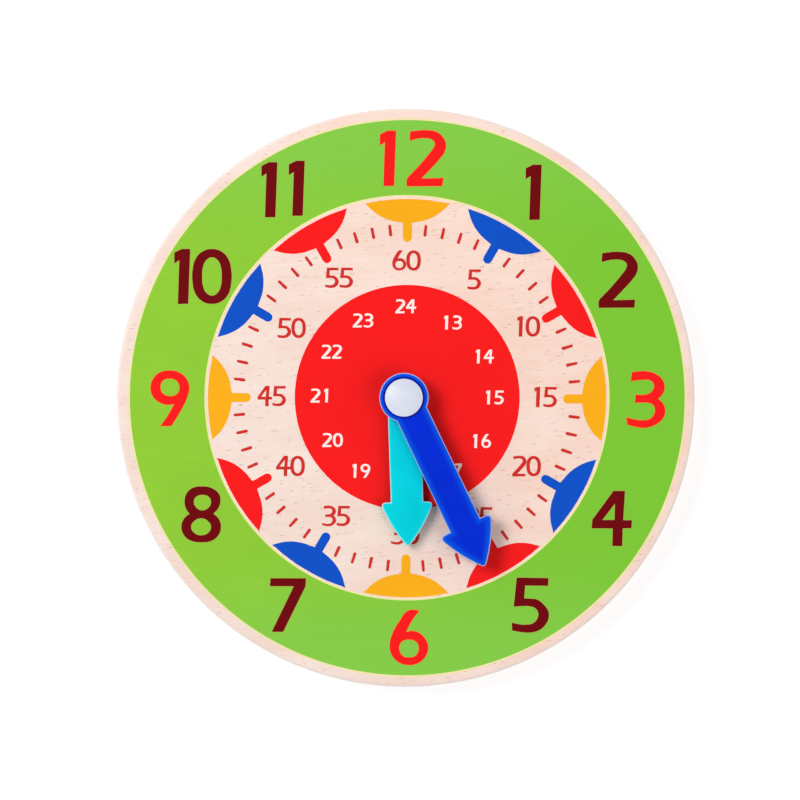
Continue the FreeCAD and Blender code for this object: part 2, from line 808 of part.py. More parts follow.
def make_hand_nut():
    nut = new_body("hand_nut")
    across_corners = [(f"nut_corner_radius * cos({60 * corner})",
                       f"nut_corner_radius * sin({60 * corner})") for corner in range(6)]
    hexagon = sketch_on(nut, "XY_Plane", "hexagon", "nut_seat")
    outline(hexagon, across_corners)
    pad(nut, "nut_prism", hexagon, "nut_thickness")
    turn(nut, "nut_corners", [
        ("nut_corner_radius", "nut_top - nut_chamfer"),
        ("nut_corner_radius + nut_chamfer", "nut_top - nut_chamfer"),
        ("nut_corner_radius + nut_chamfer", "nut_top + nut_chamfer"),
        ("nut_corner_radius - nut_chamfer * 2", "nut_top + nut_chamfer"),
        ("nut_corner_radius - nut_chamfer * 2", "nut_top"),
    ], kind="Groove")
    bore(nut, "thread_bore", "arbor_radius", "nut_seat", "nut_top")
    return nut


def make_centre_cap():
    """A domed cap whose skirt snaps into the well round the nut. Three cones follow the dome."""
    cap = new_body("centre_cap")
    turn(cap, "cap_turning", [
        ("nut_well_radius - cap_skirt_wall", "minute_hand_top - cap_skirt_depth"),
        ("nut_well_radius", "minute_hand_top - cap_skirt_depth"),
        ("nut_well_radius", "minute_hand_top"),
        ("cap_radius", "minute_hand_top"),
        ("cap_radius", "cap_rim_top"),
        ("cap_radius * 0.8", "cap_apex - cap_dome_drop_low"),
        ("cap_radius * 0.4", "cap_apex - cap_dome_drop_high"),
        ("0", "cap_apex"),
        ("0", "cap_ceiling"),
        ("nut_well_radius - cap_skirt_wall", "cap_ceiling"),
    ])
    return cap


board = make_dial_board()
cover = make_back_cover()
cover_screws = make_cover_screws()
rear_bush = make_rear_bush()
thrust_washer = make_washer("thrust_washer", "rear_flange_top", "thrust_washer_top",
                            "arbor_bore", "washer_rim")
minute_pinion = make_minute_pinion()
minute_arbor = make_minute_arbor()
intermediate_gear = make_intermediate_gear()
intermediate_pin = make_intermediate_pin()
intermediate_washers = make_intermediate_washers()
pin_clip = make_pin_clip()
hour_wheel = make_hour_wheel()
hour_tube = make_hour_tube()
friction_washer = make_friction_washer()
dial_bush = make_dial_bush()
hour_hand = make_hour_hand()
hand_spacer = make_washer("hand_spacer", "hour_hand_top", "spacer_top", "arbor_bore",
                          "washer_rim * 2")
minute_hand = make_minute_hand()
hand_nut = make_hand_nut()
centre_cap = make_centre_cap()
for turned_with_hand in (minute_hand, minute_arbor, hand_nut):
    point_to(turned_with_hand, "minute_hand_angle")

SUB_PARTS = [board, cover, cover_screws, rear_bush, thrust_washer, minute_pinion, minute_arbor,
             intermediate_gear, intermediate_pin, intermediate_washers, pin_clip, hour_wheel,
             hour_tube, friction_washer, dial_bush, hour_hand, hand_spacer, minute_hand,
             hand_nut, centre_cap]

# Check every object, then write each sub-part
doc.recompute()
for checked in doc.Objects:
    if "Invalid" in checked.State or "Error" in checked.State:
        raise RuntimeError(f"{checked.Label} failed: {checked.State}")
for part in SUB_PARTS:
    if part.Shape.isNull() or not part.Shape.isValid():
        raise RuntimeError(f"{part.Label} has no valid shape")
for part in SUB_PARTS:
    part.Shape.exportStep(f"parts/{part.Label}.step")
    print(f"{part.Label}: {len(part.Shape.Solids)} solids, {part.Shape.Volume:.2f} mm3")
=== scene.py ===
"""Looks of a wooden teaching clock with two moulded hands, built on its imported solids."""

import math

import bmesh
import bpy
from mathutils import Matrix, Vector


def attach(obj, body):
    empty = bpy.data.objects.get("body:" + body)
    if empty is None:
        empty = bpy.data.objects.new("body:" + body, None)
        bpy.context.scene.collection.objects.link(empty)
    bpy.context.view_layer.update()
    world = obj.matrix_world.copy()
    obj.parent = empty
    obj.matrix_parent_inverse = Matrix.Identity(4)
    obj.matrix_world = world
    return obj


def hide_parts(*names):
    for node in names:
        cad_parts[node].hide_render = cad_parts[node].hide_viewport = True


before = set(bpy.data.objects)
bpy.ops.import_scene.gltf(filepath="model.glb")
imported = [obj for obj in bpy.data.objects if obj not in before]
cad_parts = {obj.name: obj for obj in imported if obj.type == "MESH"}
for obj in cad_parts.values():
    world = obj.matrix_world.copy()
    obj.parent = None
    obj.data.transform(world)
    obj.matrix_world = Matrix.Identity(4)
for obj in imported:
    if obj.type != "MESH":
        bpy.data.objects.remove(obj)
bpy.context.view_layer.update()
scene = bpy.context.scene

# Sizes in millimetres and angles in degrees clockwise, about the axis of the hands
MM = 0.001
BOARD_RADIUS = 72.5
BOARD_TOP = 10.0
BOARD_ROUND = 0.9
# Radius and ceiling of each hollow in the board's back
COVER_REBATE = (40.07, 2.0)
GEAR_POCKET = (34.07, 6.8)
BUSH_HOLE = 3.7
# How the whole print lies on the board: to the right of its middle, and a little larger
PRINT_SHIFT = 0.42
PRINT_SCALE = 1.003
# How the domes, the ticks and the red disc lie in the print
DOME_TURN = 0.25
TICK_TURN = 0.4
DOME_DROP = -0.12
DISC_SHIFT = (0.11, 0.07)
# Inner and outer radius
GREEN_RING = (50.68, 69.4)
RED_DISC = (5.0, 28.13)
LINE_WIDTH = 0.42
# Thickness of a film of ink
INK = 0.02
HAND_ROUND = 0.5
HOUR_HAND_HEIGHTS = (11.0, 13.4)
MINUTE_HAND_HEIGHTS = (14.0, 16.4)
HOUR_HAND_ANGLE = 178.6
MINUTE_HAND_ANGLE = 154.4
GRAIN_ANGLE = -6
# Corners closer than the first are one, and the others tell a height and a radius from others
WELD = 0.0005
HEIGHT_TOLERANCE = 0.001
RADIUS_TOLERANCE = 0.01


# Shader maths

class Wire:
    """A socket of a material. Arithmetic on wires adds Math nodes to the material."""

    def __init__(self, tree, socket):
        self.tree = tree
        self.socket = socket

    def node(self, kind, sockets=None, output=0, **settings):
        """Add a node with its settings, then the values or wires of its sockets."""
        added = self.tree.nodes.new(kind)
        for name, setting in settings.items():
            setattr(added, name, setting)
        for name, given in (sockets or {}).items():
            if isinstance(given, Wire):
                self.tree.links.new(given.socket, added.inputs[name])
            else:
                added.inputs[name].default_value = given
        return Wire(self.tree, added.outputs[output])

    def maths(self, operation, *given):
        """A Math node on the values or wires given, which have to name this one too."""
        return self.node("ShaderNodeMath", dict(enumerate(given)), operation=operation)

    def __add__(self, other):
        return self.maths("ADD", self, other)

    def __sub__(self, other):
        return self.maths("SUBTRACT", self, other)

    def __rsub__(self, other):
        return self.maths("SUBTRACT", other, self)

    def __mul__(self, other):
        return self.maths("MULTIPLY", self, other)

    def __truediv__(self, other):
        return self.maths("DIVIDE", self, other)

    def least(self, other):
        """The smaller of two wires."""
        return self.maths("MINIMUM", self, other)

    def most(self, other):
        """The larger of two wires."""
        return self.maths("MAXIMUM", self, other)

    def between(self, low, high):
        """Nought below the low value, one above the high one, smooth in between."""
        return self.node("ShaderNodeMapRange", {"Value": self, "From Min": low, "From Max": high},
                         interpolation_type="SMOOTHSTEP")

    def tint(self, dark, light):
        """A colour from the dark one at nought to the light one at one."""
        return self.node("ShaderNodeMix", {0: self, 6: dark, 7: light}, output=2,
                         data_type="RGBA")

    def noise(self, scale, detail=3.0, roughness=0.5):
        """Noise on this wire's coordinates."""
        return self.node("ShaderNodeTexNoise",
                         {"Vector": self, "Scale": scale, "Detail": detail,
                          "Roughness": roughness})

    def stretched(self, x, y, z):
        """These coordinates, scaled along each axis."""
        return self.node("ShaderNodeMapping", {"Vector": self, "Scale": (x, y, z)})

    def part(self, axis):
        """One coordinate of this wire."""
        return self.node("ShaderNodeSeparateXYZ", {0: self}, output=axis)

    def bump(self, strength, depth):
        """A normal that follows this wire as a height."""
        return self.node("ShaderNodeBump", {"Height": self, "Strength": strength,
                                            "Distance": depth * MM})


def colour(red, green, blue):
    """A linear colour from screen values of 0 to 255."""
    channels = [channel / 255 for channel in (red, green, blue)]
    return tuple(channel / 12.92 if channel <= 0.04045 else ((channel + 0.055) / 1.055) ** 2.4
                 for channel in channels) + (1.0,)


def shade(tint, amount):
    """A darker or a lighter form of a colour."""
    return tuple(min(1.0, channel * amount) for channel in tint[:3]) + (1.0,)


def new_material(name, **constants):
    """A material with its shader, and the coordinates in millimetres that patterns read."""
    material = bpy.data.materials.new(name)
    material.use_nodes = True
    tree = material.node_tree
    shader = tree.nodes["Principled BSDF"]
    for socket, given in constants.items():
        shader.inputs[socket.replace("_", " ")].default_value = given
    place = Wire(tree, tree.nodes.new("ShaderNodeTexCoord").outputs["Object"])
    return material, shader, place.node("ShaderNodeMapping", {"Vector": place,
                                                              "Scale": (1 / MM,) * 3})


def feed(shader, **wires):
    """Link wires into the shader's sockets."""
    for socket, wire in wires.items():
        wire.tree.links.new(wire.socket, shader.inputs[socket.replace("_", " ")])


# Finishes

def beech():
    """Pale lacquered beech: soft patches, faint fibres and two sizes of short brown rays, all
    rising a little to the right. The wood is paler on the left and at the bottom of the board, and
    on the edges that were rounded with sandpaper, where the paler colour is partly the sanded wood
    and partly painted light on the rounding."""
    material, shader, place = new_material("beech_wood", Specular_IOR_Level=0.3,
                                           Coat_Weight=0.1, Coat_Roughness=0.35)
    across = place.part("X") + place.part("Y") * 0.3
    level = place.node("ShaderNodeNewGeometry", output="Normal").part("Z")
    sanded_edge_and_painted_light = level.between(0.05, 0.3) * (1 - level.between(0.8, 1.0))
    place = place.node("ShaderNodeMapping", {"Vector": place,
                                             "Rotation": (0, 0, math.radians(GRAIN_ANGLE))})
    patches = place.stretched(0.05, 0.13, 0.13).noise(1.0, 3.0)
    fibres = place.stretched(0.09, 1.5, 1.5).noise(1.0, 4.0, 0.6)
    warm = (patches * 0.7 + fibres * 0.3).between(0.34, 0.66).tint(colour(249, 213, 196),
                                                                    colour(252, 226, 213))
    pale = (patches * 0.6 + fibres * 0.4).between(0.34, 0.66).tint(colour(243, 217, 204),
                                                                    colour(248, 228, 218))
    wood = (across + patches * 40 - 20).between(-50, 30).tint(pale, warm)
    wobble = place.node("ShaderNodeVectorMath",
                        {0: place, 1: place.node("ShaderNodeTexNoise", {
                            "Vector": place, "Scale": 0.5, "Detail": 2.0}, output="Color")},
                        operation="ADD")
    small = wobble.node("ShaderNodeTexVoronoi",
                        {"Vector": wobble.stretched(0.27, 1.8, 1.8), "Scale": 1.0})
    large = wobble.node("ShaderNodeTexVoronoi",
                        {"Vector": wobble.stretched(0.17, 0.9, 0.9), "Scale": 1.0})
    here = place.stretched(0.4, 1.1, 1.1).noise(1.0, 2.0)
    there = place.stretched(0.2, 0.6, 0.6).noise(1.0, 2.0)
    specks = (1 - small.between(0.08, 0.3)) * here.between(0.47, 0.58)
    streaks = (1 - large.between(0.05, 0.26)) * there.between(0.46, 0.62)
    wood = (streaks * 0.42).tint(wood, colour(226, 160, 122))
    wood = (specks * 0.65).tint(wood, colour(182, 140, 122))
    # Sanded edge and painted light: the rounded edge is made paler, partly as bare sanded wood and
    # partly as painted light where the rounding would fall into shade
    wood = (sanded_edge_and_painted_light * 0.7).tint(wood, colour(253, 240, 232))
    feed(shader, Base_Color=wood, Roughness=fibres * 0.16 + 0.44 + specks * 0.1,
         Normal=(fibres * 0.4 - specks * 0.8).bump(0.35, 0.04))
    return material


def ink(name, tint, right=None, thin=None):
    """Screen printed ink: the wood's fibres show faintly through an even coat, which may drift
    towards a painted shade on the right and lie thinner at the top and the bottom."""
    material, shader, place = new_material(name, Specular_IOR_Level=0.06)
    fibres = place.stretched(0.1, 1.8, 1.8).noise(1.0, 4.0, 0.6)
    cloud = place.stretched(0.06, 0.06, 0.06).noise(1.0, 2.0)
    worn = place.stretched(0.25, 2.2, 2.2).noise(1.0, 3.0).between(0.66, 0.8)
    coat = (fibres * 0.5 + cloud * 0.5).between(0.25, 0.75).tint(shade(tint, 0.95),
                                                                 shade(tint, 1.03))
    if right:
        # Painted shade darkens the coat towards the right, and the coat gets thinner from 35 to 65
        # mm above and below the middle
        coat = place.part("X").between(-70, 70).tint(coat, right)
        up = place.part("Y")
        coat = ((up * up).between(1200, 4200) * 0.8).tint(coat, thin)
    feed(shader, Base_Color=(worn * 0.12).tint(coat, shade(tint, 0.8)),
         Roughness=fibres * 0.14 + 0.5, Normal=(fibres - worn * 0.4).bump(0.25, 0.03))
    return material


def moulded(name, tint, roughness, grain, depth=0.02, polished=False):
    """Injection moulded plastic: a fine skin and very faint flow marks, and where a piece is
    often touched a few polished grains."""
    material, shader, place = new_material(name, Specular_IOR_Level=0.2)
    skin = place.noise(grain, 3.0, 0.55)
    flow = place.stretched(0.12, 0.12, 0.3).noise(1.0, 3.0)
    feed(shader, Base_Color=flow.between(0.3, 0.7).tint(shade(tint, 0.95), shade(tint, 1.04)),
         Roughness=skin * 0.12 + flow * 0.06 + roughness, Normal=skin.bump(0.2, depth))
    if polished:
        shader.inputs["Coat Roughness"].default_value = 0.1
        feed(shader, Coat_Weight=place.noise(3.2, 1.0, 0.5).between(0.6, 0.63))
    return material


def hand_moulding(name, tint, edge_tint, edge_highlight_tint, angle, hub, half_shaft, barb, tip, fade):
    """Glossy moulding of a hand. It is paler towards the outline for a short way, darker round the
    middle of the hub as painted shade next to the cap, and has a painted highlight on the rounded
    edge.
    The barb is given by its distance from the hub and how far it stands out."""
    material, shader, place = new_material(name, Specular_IOR_Level=0.1, Coat_Roughness=0.12)
    along = place.node("ShaderNodeMapping", {"Vector": place,
                                             "Rotation": (0, 0, math.radians(angle))})
    aside = along.part("X")
    aside = aside.most(aside * -1)
    out = along.part("Y")
    # How deep a point lies inside the outline of the head, the shaft and the hub
    side_bulge, side_slope = 3.0, 0.86
    reach = (out - barb[0]) / (tip - barb[0])
    full_side = (1 - reach) * barb[1] + reach * (1 - reach) * side_bulge
    in_head = ((full_side - aside) * side_slope).least(out - barb[0])
    in_shaft = (half_shaft - aside).least(out).least(barb[0] + 2 * fade - out)
    from_axis = (aside * aside + out * out).maths("SQRT", aside * aside + out * out)
    depth = in_head.most(in_shaft).most(hub - from_axis)
    skin = place.noise(9.0, 3.0, 0.55)
    flow = place.stretched(0.12, 0.12, 0.3).noise(1.0, 3.0)
    core = flow.between(0.3, 0.7).tint(shade(tint, 0.95), shade(tint, 1.04))
    level = place.node("ShaderNodeNewGeometry", output="Normal").part("Z")
    rounded = 1 - level.between(0.86, 0.99)
    # Painted highlight: the base colour turns pale on the rounded edge, where light would catch it
    painted_edge_highlight = level.between(0.12, 0.3) * (1 - level.between(0.78, 0.92))
    # The colour turns towards the edge tint near the outline, over a short way
    body = (depth + flow * 0.3).between(fade * 0.15, fade).tint(edge_tint, core)
    # Painted shade: a darker ring round the step of the cap, where the cap would shade the hub
    middle = (1 - from_axis.between(hub - 1.15, hub - 0.7)) * 0.9
    body = middle.tint(body, shade(tint, 0.7))
    feed(shader, Base_Color=(painted_edge_highlight * 0.7).tint(body, edge_highlight_tint),
         Roughness=skin * 0.12 + flow * 0.06 + 0.2, Coat_Weight=rounded,
         Normal=skin.bump(0.2, 0.02))
    return material


def turned_metal(name, tint, roughness, across=0.0):
    """Metal with the fine rings that a lathe or a drawing die leaves round its axis, which
    may lie to the right of the hands' axis."""
    material, shader, place = new_material(name, Metallic=1.0)
    centred = place.node("ShaderNodeVectorMath", {0: place, 1: (across, 0, 0)},
                         operation="SUBTRACT")
    flat = centred.node("ShaderNodeVectorMath", {0: centred, 1: (1, 1, 0)},
                        operation="MULTIPLY")
    radius = flat.node("ShaderNodeVectorMath", {0: flat}, output="Value", operation="LENGTH")
    ring = radius.node("ShaderNodeCombineXYZ", {0: radius, 2: place.part("Z")})
    marks = ring.stretched(14.0, 1.0, 14.0).noise(1.0, 3.0)
    stain = place.noise(0.6, 3.0)
    feed(shader, Base_Color=(marks * 0.5 + stain * 0.5).between(0.3, 0.7).tint(
        shade(tint, 0.82), tint), Roughness=marks * 0.16 + stain * 0.1 + roughness,
        Normal=marks.bump(0.2, 0.01))
    return material


def vulcanised_fibre():
    """Dense red washer board with mottled pulp."""
    material, shader, place = new_material("fibre_board", Specular_IOR_Level=0.3)
    pulp = place.noise(3.5, 5.0, 0.65)
    feed(shader, Base_Color=pulp.between(0.3, 0.7).tint(colour(120, 44, 30), colour(158, 66, 48)),
         Roughness=pulp * 0.2 + 0.6, Normal=pulp.bump(0.4, 0.05))
    return material


# Making pieces

def keep(piece, body, finish, replaced=None):
    """Let a finished piece ride on a body of the clock, in place of a solid if one is named."""
    piece.data.materials.clear()
    piece.data.materials.append(finish)
    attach(piece, body)
    if replaced:
        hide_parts(replaced)


def place_mesh(name, mesh):
    """Put a mesh in the scene as an object at the origin."""
    piece = bpy.data.objects.new(name, mesh)
    scene.collection.objects.link(piece)
    return piece


def shade_curves(mesh, sharp):
    """Shade curved walls smooth, and keep level faces flat and sharp corners sharp."""
    for face in mesh.polygons:
        face.use_smooth = abs(face.normal.z) < 0.9999
    mesh.set_sharp_from_angle(angle=math.radians(sharp))


def form_piece(name, form, sharp=35):
    """Turn a form in millimetres into an object, its normals outwards and its curves smooth."""
    bmesh.ops.remove_doubles(form, verts=form.verts, dist=WELD)
    bmesh.ops.recalc_face_normals(form, faces=form.faces)
    bmesh.ops.scale(form, vec=(MM, MM, MM), verts=form.verts)
    mesh = bpy.data.meshes.new(name)
    form.to_mesh(mesh)
    form.free()
    shade_curves(mesh, sharp)
    return place_mesh(name, mesh)


def turned(profile, steps=192):
    """A ring or disc turned from a closed profile of (radius, height) corners."""
    form = bmesh.new()
    corners = [form.verts.new((radius, 0, height)) for radius, height in profile]
    edges = [form.edges.new(pair) for pair in zip(corners, corners[1:] + corners[:1])]
    bmesh.ops.spin(form, geom=corners + edges, cent=(0, 0, 0), axis=(0, 0, 1),
                   angle=math.tau, steps=steps, use_merge=True)
    bmesh.ops.remove_doubles(form, verts=form.verts, dist=WELD)
    bmesh.ops.recalc_face_normals(form, faces=form.faces)
    return form


def rings_at(form, radius, height):
    """The edges of a turned form that run round at a radius and a height."""
    return [edge for edge in form.edges
            if all(abs(math.hypot(vert.co.x, vert.co.y) - radius) < RADIUS_TOLERANCE
                   and abs(vert.co.z - height) < HEIGHT_TOLERANCE for vert in edge.verts)]


def flat_curve(loops, bottom, thickness, at=(0, 0), turn=0.0, size=1.0, grow=0.0):
    """A thin plate between closed outlines, as a mesh in place. A point with a third value
    is a corner, and the others are smooth."""
    curve = bpy.data.curves.new("outline", "CURVE")
    curve.dimensions = "2D"
    curve.fill_mode = "BOTH"
    curve.extrude = thickness / 2
    curve.offset = grow
    curve.resolution_u = 8
    for loop in loops:
        spline = curve.splines.new("BEZIER")
        spline.bezier_points.add(len(loop) - 1)
        spline.use_cyclic_u = True
        for point, (x, y, *corner) in zip(spline.bezier_points, loop):
            point.co = (x * size, y * size, 0)
            handle = "VECTOR" if corner else "AUTO"
            point.handle_left_type = point.handle_right_type = handle
    outline = bpy.data.objects.new("outline", curve)
    scene.collection.objects.link(outline)
    mesh = bpy.data.meshes.new_from_object(
        outline.evaluated_get(bpy.context.evaluated_depsgraph_get()))
    bpy.data.objects.remove(outline)
    mesh.transform(Matrix.Translation((at[0], at[1], bottom + thickness / 2))
                   @ Matrix.Rotation(math.radians(-turn), 4, "Z"))
    return mesh


def join(name, meshes):
    """One piece from several meshes in millimetres."""
    form = bmesh.new()
    for mesh in meshes:
        form.from_mesh(mesh)
        bpy.data.meshes.remove(mesh)
    return form_piece(name, form)


# Numeral outlines in millimetres about their own centres, at the height of the hours; a third
# value marks a corner
DIGIT_HEIGHT = 13.85
DIGITS = {
    "0": [[(0, 6.88), (2.38, 6.25), (4.12, 4.38), (4.88, 1.38), (4.88, -1.38), (4.12, -4.38),
          (2.38, -6.25), (0, -6.88), (-2.38, -6.25), (-4.12, -4.38), (-4.88, -1.38), (-4.88, 1.38),
          (-4.12, 4.38), (-2.38, 6.25)],
         [(0, 4.8), (1.45, 4.05), (2.27, 2.25), (2.45, 0), (2.27, -2.25), (1.45, -4.05), (0, -4.8),
          (-1.45, -4.05), (-2.27, -2.25), (-2.45, 0), (-2.27, 2.25), (-1.45, 4.05)]],
    "1": [[(-2, 5.96, 1), (-0.12, 6.91, 1), (2, 6.89, 1), (1.5, -6.86, 1), (-1.12, -6.91, 1),
          (-0.75, 4.09, 1), (-2, 3.26, 1)]],
    "2": [[(-4, 6.67, 1), (-0.12, 7), (2.88, 6.42), (4.38, 4.92), (4.88, 3.67), (4.62, 1.67),
          (3.62, 0.17), (1.62, -2.08), (-1.25, -5.08, 1), (4.25, -4.95, 1), (4, -6.95, 1),
          (-4.88, -7, 1), (-4.75, -5.08), (-3.88, -4.08), (-1.62, -1.7), (0.88, 1.3), (2, 2.92),
          (2.12, 3.92), (1.38, 4.72), (-0.12, 5.05), (-2.12, 4.92), (-4.12, 4.42, 1)]],
    "3": [[(-3.44, 6.81, 1), (-0.19, 7.06), (2.31, 6.44), (4.06, 5.06), (4.69, 3.31), (4.31, 1.56),
          (3.06, 0.19, 1), (4.06, -0.69), (4.81, -2.44), (4.56, -4.19), (3.31, -5.69),
          (1.06, -6.81), (-0.94, -7.06), (-2.94, -6.69), (-4.56, -6.31, 1), (-4.81, -4.44, 1),
          (-2.94, -4.94), (-0.94, -5.19), (1.06, -4.81), (2.06, -3.69), (2.31, -2.44),
          (1.81, -1.31), (0.56, -0.81), (-2.69, -0.81, 1), (-2.49, 1.19, 1), (-0.19, 1.19),
          (1.31, 1.81), (2.06, 3.06), (1.94, 4.06), (1.06, 4.81), (-0.69, 4.94), (-3.69, 4.56, 1)]],
    "4": [[(0.4, 6.9, 1), (3.28, 6.9, 1), (2.85, -0.4, 1), (5.03, -0.4, 1), (4.9, -2.4, 1),
          (2.72, -2.47, 1), (2.58, -6.9, 1), (0.1, -6.85, 1), (0.22, -2.47, 1), (-5.03, -2.47, 1),
          (-4.9, -0.33, 1)],
         [(0.78, 3.72, 1), (0.65, -0.35, 1), (-2.35, -0.35, 1)]],
    "5": [[(-3.38, 6.88, 1), (4.57, 6.75, 1), (4.45, 4.8, 1), (-1.25, 4.88, 1), (-1.5, 1.68, 1),
          (0, 1.62), (1.75, 1.38), (3.5, 0), (4.57, -1.62), (4.62, -3.12), (3.75, -5), (2, -6.38),
          (-0.25, -6.88), (-2.25, -6.75), (-4.5, -6.38, 1), (-4.62, -4.38, 1), (-3, -4.75),
          (-1, -4.88), (0.75, -4.5), (1.82, -3.25), (2, -2), (1.38, -0.88), (0, -0.32),
          (-1.75, -0.25), (-4.12, -0.43, 1)]],
    "6": [[(-0.12, 6.81), (2.62, 6.81, 1), (1, 4.69), (-0.12, 2.81), (-0.75, 1.44, 1), (1, 1.69),
          (2.75, 1.06), (4, -0.19), (4.75, -1.94), (4.5, -3.94), (3.25, -5.69), (1.25, -6.69),
          (-0.25, -6.81), (-2.25, -6.31), (-3.88, -4.94), (-4.75, -2.94), (-4.67, -0.69),
          (-4, 1.31), (-2.5, 3.94)],
         [(0, -0.44), (1.62, -0.86), (2.38, -1.94), (2.33, -3.44), (1.5, -4.59), (0, -4.94),
          (-1.5, -4.59), (-2.3, -3.44), (-2.38, -1.94), (-1.62, -0.86)]],
    "7": [[(-4.39, 6.71, 1), (4.54, 6.71, 1), (4.36, 4.59, 1), (-1.21, -6.71, 1), (-4.09, -6.71, 1),
          (1.46, 4.71, 1), (-4.54, 4.71, 1)]],
    "8": [[(0.21, 7), (2.84, 6.5), (4.54, 5), (4.84, 3.5), (4.34, 1.62), (3.09, 0.18, 1),
          (4.49, -1.25), (4.96, -3.25), (4.21, -5.38), (2.46, -6.68), (0.09, -7), (-2.41, -6.68),
          (-4.16, -5.45), (-4.96, -3.38), (-4.41, -1.25), (-2.96, 0.15, 1), (-3.86, 1.5),
          (-4.16, 3.5), (-3.66, 5.25), (-2.16, 6.6)],
         [(0.34, 4.88), (2.04, 4.25), (2.46, 3), (1.84, 1.67), (0.34, 1), (-1.21, 1.67),
          (-1.84, 3), (-1.41, 4.25)],
         [(0.01, -1), (1.71, -1.7), (2.46, -3.12), (1.84, -4.55), (0.01, -5.25), (-1.84, -4.55),
          (-2.54, -3.12), (-1.76, -1.7)]],
    "9": [[(-4.85, 2.56), (-4.27, 4.81), (-2.65, 6.41), (-0.15, 6.94), (2.35, 6.44), (4.1, 4.94),
          (4.85, 2.81), (4.35, 0.31), (3.35, -1.94), (0.35, -6.94, 1), (-2.4, -6.94, 1),
          (-0.52, -4.31), (1.1, -1.44, 1), (-0.9, -1.59), (-3.15, -0.69), (-4.45, 0.81)],
         [(-0.02, 4.94), (1.6, 4.46), (2.35, 3.19), (2.23, 1.69), (1.23, 0.74), (-0.15, 0.56),
          (-1.65, 1.06), (-2.35, 2.44), (-2.2, 3.81), (-1.4, 4.66)]],
}

# Inks and plastics
# The green's tint on the right is painted shade, darker on the side away from the light
GREEN = ink("green_ink", colour(145, 205, 56), right=colour(125, 200, 54),
            thin=colour(133, 205, 76))
RED = ink("red_ink", colour(253, 26, 27))
YELLOW = ink("yellow_ink", colour(254, 176, 24))
BLUE = ink("blue_ink", colour(10, 82, 200))
MAROON = ink("maroon_ink", colour(112, 2, 10))
TICK_RED = ink("tick_ink", colour(211, 46, 42))
WHITE = ink("white_ink", colour(250, 240, 234))
PALE_LINE = ink("pale_line_ink", colour(246, 233, 172))
OLIVE_LINE = ink("olive_line_ink", colour(190, 196, 100))
ORANGE_LINE = ink("orange_line_ink", colour(238, 150, 60))
BEECH = beech()
# The third colour of each hand is the painted highlight on its rounded edge
HAND_BLUE = hand_moulding(
    "blue_moulding", colour(0, 44, 212), colour(0, 82, 224), colour(196, 214, 252),
    MINUTE_HAND_ANGLE, hub=6.2, half_shaft=4.15, barb=(35.25, 6.8), tip=46.93, fade=2.1)
HAND_TURQUOISE = hand_moulding(
    "turquoise_moulding", colour(0, 210, 222), colour(0, 222, 232), colour(232, 246, 252),
    HOUR_HAND_ANGLE, hub=6.0, half_shaft=4.1, barb=(26.1, 6.5), tip=37.45, fade=1.2)
CAP_WHITE = moulded("cap_moulding", colour(222, 226, 241), 0.3, 5.0, 0.05, polished=True)

# Wooden board
board = turned([(BUSH_HOLE, GEAR_POCKET[1]), GEAR_POCKET, (GEAR_POCKET[0], COVER_REBATE[1]),
                COVER_REBATE, (COVER_REBATE[0], 0), (BOARD_RADIUS, 0),
                (BOARD_RADIUS, BOARD_TOP), (BUSH_HOLE, BOARD_TOP)], steps=256)
bmesh.ops.bevel(board, geom=rings_at(board, BOARD_RADIUS, 0)
                + rings_at(board, BOARD_RADIUS, BOARD_TOP),
                offset=BOARD_ROUND, segments=5, profile=0.5, affect="EDGES", material=-1)
keep(form_piece("board", board), "root", BEECH, "dial_board")


# Printed dial, each ink a thin film on the wood

def printed(name, form_or_meshes, finish):
    """Keep a film of ink where the print lies on the board."""
    if isinstance(form_or_meshes, list):
        piece = join(name, form_or_meshes)
    else:
        piece = form_piece(name, form_or_meshes)
    piece.data.transform(Matrix.Translation((PRINT_SHIFT * MM, 0, 0))
                         @ Matrix.Diagonal((PRINT_SCALE, PRINT_SCALE, 1, 1)))
    keep(piece, "root", finish)


def film_ring(inner, outer):
    """A printed ring between two radii."""
    top = BOARD_TOP + INK
    return turned([(inner, BOARD_TOP), (outer, BOARD_TOP), (outer, top), (inner, top)],
                  steps=256)


printed("green_ring", film_ring(*GREEN_RING), GREEN)
printed("rim_line", film_ring(GREEN_RING[1], GREEN_RING[1] + LINE_WIDTH), PALE_LINE)
printed("dial_line", film_ring(GREEN_RING[0] - LINE_WIDTH, GREEN_RING[0]), PALE_LINE)
disc = film_ring(*RED_DISC)
bmesh.ops.translate(disc, verts=disc.verts, vec=(*DISC_SHIFT, 0))
printed("red_disc", disc, RED)

# Outline of the dome and post at twelve o'clock; a third value marks a corner
DOME = [(10.63, 48.65, 1), (8, 46.25), (5, 44.67), (1.13, 43.8, 1), (1.13, 40.23, 1),
        (0.8, 39.43), (0, 39.1), (-0.8, 39.43), (-1.13, 40.23, 1), (-1.13, 43.8, 1),
        (-5, 44.67), (-8, 46.25), (-10.63, 48.65, 1), (-5.35, 49.51), (0, 49.8), (5.35, 49.51)]
for first, (tint_name, finish) in enumerate((("yellow", YELLOW), ("blue", BLUE),
                                             ("red", RED))):
    printed(f"{tint_name}_domes",
            [flat_curve([DOME], BOARD_TOP, INK, at=(0, DOME_DROP), turn=30 * hour + DOME_TURN)
             for hour in range(first, 12, 3)], finish)


